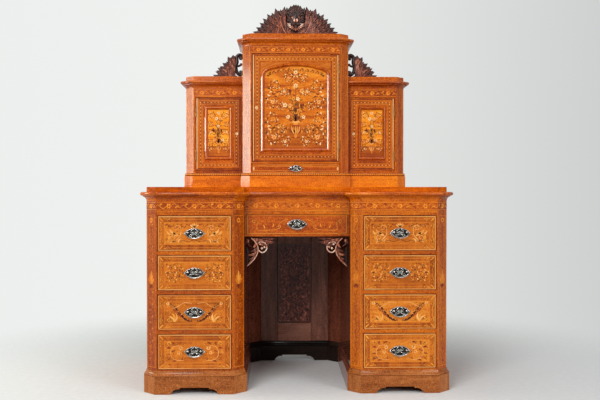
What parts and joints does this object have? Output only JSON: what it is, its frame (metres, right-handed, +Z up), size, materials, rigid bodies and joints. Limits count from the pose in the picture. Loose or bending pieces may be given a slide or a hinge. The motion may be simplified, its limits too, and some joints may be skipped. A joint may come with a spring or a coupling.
{
  "type": "pedestal desk",
  "caption": "Breakfront pedestal writing desk in inlaid veneer, with drawers on both sides of a kneehole and cabinets with hinged doors and carved crests on its top.",
  "frame": {"origin": "middle of the box that the desk fills, on the floor", "axes": "+Z up, +X to the right of someone facing the desk, the front faces -Y"},
  "size_m": [1.192, 0.653, 1.543],
  "materials": {
    "veneer": "polished",
    "inlaid_panel": "polished",
    "carved_wood": "satin",
    "dark_wood": "satin",
    "plain_wood": "bare",
    "pewter": "aged",
    "brass": "aged"
  },
  "bodies": {
    "desk": {"desk_top": "veneer", "desk_top_moulding": "veneer", "pedestal_posts": "veneer", "pedestal_boards": "veneer", "drawer_rails": "veneer", "drawer_runners": "plain_wood", "frieze_boards": "veneer", "base_plinth": "veneer", "back_panels": "plain_wood", "kneehole_back_frame": "dark_wood", "kneehole_back_panel": "dark_wood", "kneehole_brackets": "carved_wood", "cabinet_posts": "veneer", "cabinet_boards": "veneer", "cabinet_plinth": "veneer", "cornice_mouldings": "veneer", "carved_crests": "carved_wood", "door_hinge_leaves": "brass"},
    "left_drawer_1": {"left_drawer_1": "veneer", "left_drawer_1_pull_plate": "pewter"},
    "left_drawer_1_bail": {"left_drawer_1_bail": "pewter"},
    "left_drawer_2": {"left_drawer_2": "veneer", "left_drawer_2_pull_plate": "pewter"},
    "left_drawer_2_bail": {"left_drawer_2_bail": "pewter"},
    "left_drawer_3": {"left_drawer_3": "veneer", "left_drawer_3_pull_plate": "pewter"},
    "left_drawer_3_bail": {"left_drawer_3_bail": "pewter"},
    "left_drawer_4": {"left_drawer_4": "veneer", "left_drawer_4_pull_plate": "pewter"},
    "left_drawer_4_bail": {"left_drawer_4_bail": "pewter"},
    "right_drawer_1": {"right_drawer_1": "veneer", "right_drawer_1_pull_plate": "pewter"},
    "right_drawer_1_bail": {"right_drawer_1_bail": "pewter"},
    "right_drawer_2": {"right_drawer_2": "veneer", "right_drawer_2_pull_plate": "pewter"},
    "right_drawer_2_bail": {"right_drawer_2_bail": "pewter"},
    "right_drawer_3": {"right_drawer_3": "veneer", "right_drawer_3_pull_plate": "pewter"},
    "right_drawer_3_bail": {"right_drawer_3_bail": "pewter"},
    "right_drawer_4": {"right_drawer_4": "veneer", "right_drawer_4_pull_plate": "pewter"},
    "right_drawer_4_bail": {"right_drawer_4_bail": "pewter"},
    "kneehole_drawer": {"kneehole_drawer": "veneer", "kneehole_drawer_pull_plate": "pewter"},
    "kneehole_drawer_bail": {"kneehole_drawer_bail": "pewter"},
    "cabinet_drawer": {"cabinet_drawer": "veneer", "cabinet_drawer_pull_plate": "pewter"},
    "cabinet_drawer_bail": {"cabinet_drawer_bail": "pewter"},
    "centre_door": {"centre_door_frame": "veneer", "centre_door_panel": "inlaid_panel", "centre_door_fittings": "brass"},
    "centre_door_lock_bolt": {"centre_door_lock_bolt": "brass"},
    "left_door": {"left_door_frame": "veneer", "left_door_panel": "inlaid_panel", "left_door_fittings": "brass"},
    "left_door_lock_bolt": {"left_door_lock_bolt": "brass"},
    "right_door": {"right_door_frame": "veneer", "right_door_panel": "inlaid_panel", "right_door_fittings": "brass"},
    "right_door_lock_bolt": {"right_door_lock_bolt": "brass"}
  },
  "joints": [
    {"name": "left_drawer_1_slide", "type": "slide", "parent": "desk", "child": "left_drawer_1", "axis": [0, -1, 0], "range_m": [0, 0.42]},
    {"name": "left_drawer_1_bail_swing", "type": "hinge", "parent": "left_drawer_1", "child": "left_drawer_1_bail", "pos_m": [-0.388, -0.3165, 0.60903], "axis": [-1, 0, 0], "range_deg": [0, 100]},
    {"name": "left_drawer_2_slide", "type": "slide", "parent": "desk", "child": "left_drawer_2", "axis": [0, -1, 0], "range_m": [0, 0.42]},
    {"name": "left_drawer_2_bail_swing", "type": "hinge", "parent": "left_drawer_2", "child": "left_drawer_2_bail", "pos_m": [-0.388, -0.3165, 0.46027], "axis": [-1, 0, 0], "range_deg": [0, 100]},
    {"name": "left_drawer_3_slide", "type": "slide", "parent": "desk", "child": "left_drawer_3", "axis": [0, -1, 0], "range_m": [0, 0.42]},
    {"name": "left_drawer_3_bail_swing", "type": "hinge", "parent": "left_drawer_3", "child": "left_drawer_3_bail", "pos_m": [-0.388, -0.3165, 0.31152], "axis": [-1, 0, 0], "range_deg": [0, 100]},
    {"name": "left_drawer_4_slide", "type": "slide", "parent": "desk", "child": "left_drawer_4", "axis": [0, -1, 0], "range_m": [0, 0.42]},
    {"name": "left_drawer_4_bail_swing", "type": "hinge", "parent": "left_drawer_4", "child": "left_drawer_4_bail", "pos_m": [-0.388, -0.3165, 0.16278], "axis": [-1, 0, 0], "range_deg": [0, 100]},
    {"name": "right_drawer_1_slide", "type": "slide", "parent": "desk", "child": "right_drawer_1", "axis": [0, -1, 0], "range_m": [0, 0.42]},
    {"name": "right_drawer_1_bail_swing", "type": "hinge", "parent": "right_drawer_1", "child": "right_drawer_1_bail", "pos_m": [0.388, -0.3165, 0.60903], "axis": [-1, 0, 0], "range_deg": [0, 100]},
    {"name": "right_drawer_2_slide", "type": "slide", "parent": "desk", "child": "right_drawer_2", "axis": [0, -1, 0], "range_m": [0, 0.42]},
    {"name": "right_drawer_2_bail_swing", "type": "hinge", "parent": "right_drawer_2", "child": "right_drawer_2_bail", "pos_m": [0.388, -0.3165, 0.46027], "axis": [-1, 0, 0], "range_deg": [0, 100]},
    {"name": "right_drawer_3_slide", "type": "slide", "parent": "desk", "child": "right_drawer_3", "axis": [0, -1, 0], "range_m": [0, 0.42]},
    {"name": "right_drawer_3_bail_swing", "type": "hinge", "parent": "right_drawer_3", "child": "right_drawer_3_bail", "pos_m": [0.388, -0.3165, 0.31152], "axis": [-1, 0, 0], "range_deg": [0, 100]},
    {"name": "right_drawer_4_slide", "type": "slide", "parent": "desk", "child": "right_drawer_4", "axis": [0, -1, 0], "range_m": [0, 0.42]},
    {"name": "right_drawer_4_bail_swing", "type": "hinge", "parent": "right_drawer_4", "child": "right_drawer_4_bail", "pos_m": [0.388, -0.3165, 0.16278], "axis": [-1, 0, 0], "range_deg": [0, 100]},
    {"name": "kneehole_drawer_slide", "type": "slide", "parent": "desk", "child": "kneehole_drawer", "axis": [0, -1, 0], "range_m": [0, 0.3]},
    {"name": "kneehole_drawer_bail_swing", "type": "hinge", "parent": "kneehole_drawer", "child": "kneehole_drawer_bail", "pos_m": [0, -0.2265, 0.6389], "axis": [-1, 0, 0], "range_deg": [0, 100]},
    {"name": "cabinet_drawer_slide", "type": "slide", "parent": "desk", "child": "cabinet_drawer", "axis": [0, -1, 0], "range_m": [0, 0.18]},
    {"name": "cabinet_drawer_bail_swing", "type": "hinge", "parent": "cabinet_drawer", "child": "cabinet_drawer_bail", "pos_m": [0, 0.0135, 0.8592], "axis": [-1, 0, 0], "range_deg": [0, 100]},
    {"name": "centre_door_hinge", "type": "hinge", "parent": "desk", "child": "centre_door", "pos_m": [0.1805, 0.0232, 1], "axis": [0, 0, 1], "range_deg": [0, 110]},
    {"name": "centre_door_lock_bolt_slide", "type": "slide", "parent": "centre_door", "child": "centre_door_lock_bolt", "axis": [-1, 0, 0], "range_m": [0, 0.006]},
    {"name": "left_door_hinge", "type": "hinge", "parent": "desk", "child": "left_door", "pos_m": [-0.421, 0.0932, 1], "axis": [0, 0, -1], "range_deg": [0, 110]},
    {"name": "left_door_lock_bolt_slide", "type": "slide", "parent": "left_door", "child": "left_door_lock_bolt", "axis": [1, 0, 0], "range_m": [0, 0.006]},
    {"name": "right_door_hinge", "type": "hinge", "parent": "desk", "child": "right_door", "pos_m": [0.421, 0.0932, 1], "axis": [0, 0, 1], "range_deg": [0, 110]},
    {"name": "right_door_lock_bolt_slide", "type": "slide", "parent": "right_door", "child": "right_door_lock_bolt", "axis": [-1, 0, 0], "range_m": [0, 0.006]}
  ]
}
